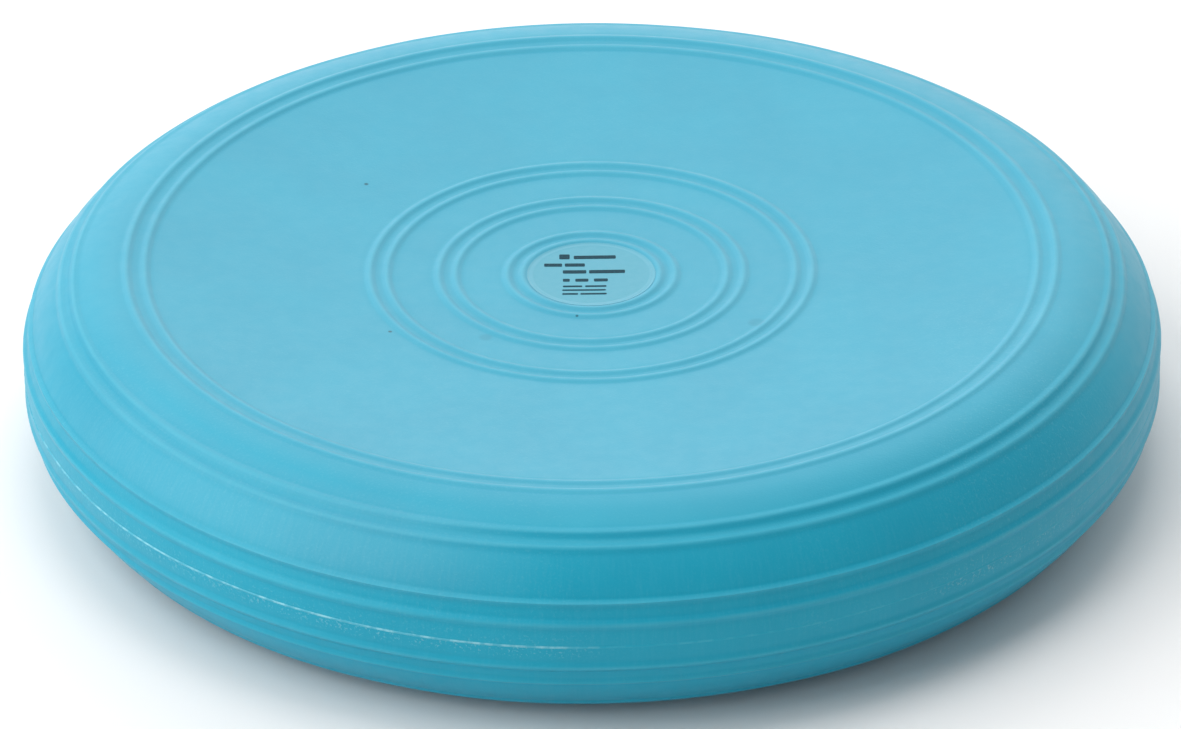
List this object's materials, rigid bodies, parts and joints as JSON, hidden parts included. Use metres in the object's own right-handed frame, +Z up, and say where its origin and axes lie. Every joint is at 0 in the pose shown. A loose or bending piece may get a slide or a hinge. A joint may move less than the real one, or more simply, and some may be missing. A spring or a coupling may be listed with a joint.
{
  "type": "wobble cushion",
  "caption": "Round inflatable balance disc with a dished face on each side, raised rings, a rounded rim and a needle valve at the back.",
  "frame": {"origin": "centre of the disc on the floor plane that its lower rest ring stands on", "axes": "+Z up along the disc's own axis; -Y towards the front of the printed label; the valve is at +Y, at the back"},
  "size_m": [0.33, 0.33, 0.063],
  "materials": {
    "shell_pvc": "satin moulded soft PVC, turquoise",
    "label_film": "thin translucent transfer film, pale grey-turquoise",
    "label_ink": "dark slate print",
    "valve_rubber": "soft moulded rubber, darker turquoise",
    "core_rubber": "soft black rubber"
  },
  "bodies": {
    "base": {"lower_shell": "shell_pvc"},
    "rim": {"rim_band": "shell_pvc", "valve_housing": "valve_rubber", "valve_core": "core_rubber"},
    "deck": {"upper_shell": "shell_pvc", "label_film": "label_film"}
  },
  "joints": [
    {"name": "wobble_front_back", "type": "hinge", "parent": "base", "child": "rim", "pos_m": [0, 0, 0.0315], "axis": [1, 0, 0], "range_deg": [-6, 6], "stiffness_Nm_per_rad": 200, "deforming": ["lower_shell"]},
    {"name": "wobble_side_side", "type": "hinge", "parent": "rim", "child": "deck", "pos_m": [0, 0, 0.0315], "axis": [0, 1, 0], "range_deg": [-6, 6], "stiffness_Nm_per_rad": 200, "deforming": ["upper_shell"]}
  ]
}
